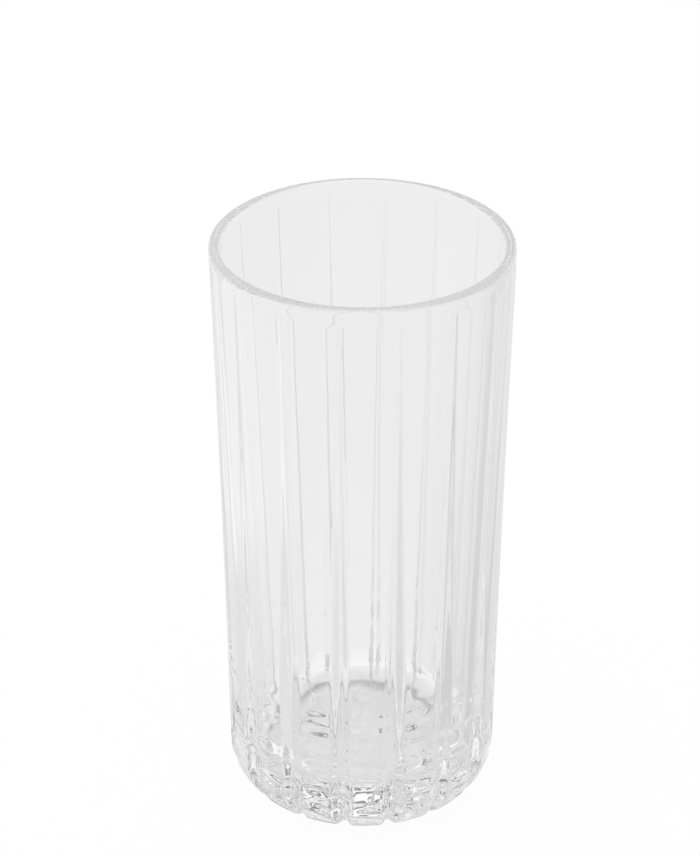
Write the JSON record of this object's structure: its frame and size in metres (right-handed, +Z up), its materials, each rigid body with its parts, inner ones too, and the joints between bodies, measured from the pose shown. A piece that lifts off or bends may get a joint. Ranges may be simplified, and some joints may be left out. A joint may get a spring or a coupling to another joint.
{
  "type": "highball glass",
  "caption": "Tall clear highball glass with a rounded lip, straight vertical flutes that run over a rounded heel, and a thick solid base.",
  "frame": {"origin": "on the table, under the middle of the base", "axes": "+Z up along the glass's own axis, from the base to the lip; -Y is the side that faces the camera in the picture"},
  "size_m": [0.074, 0.074, 0.153],
  "materials": {
    "clear_glass": "clear, fire-polished"
  },
  "bodies": {
    "root": {"tumbler": "clear_glass"}
  },
  "joints": []
}
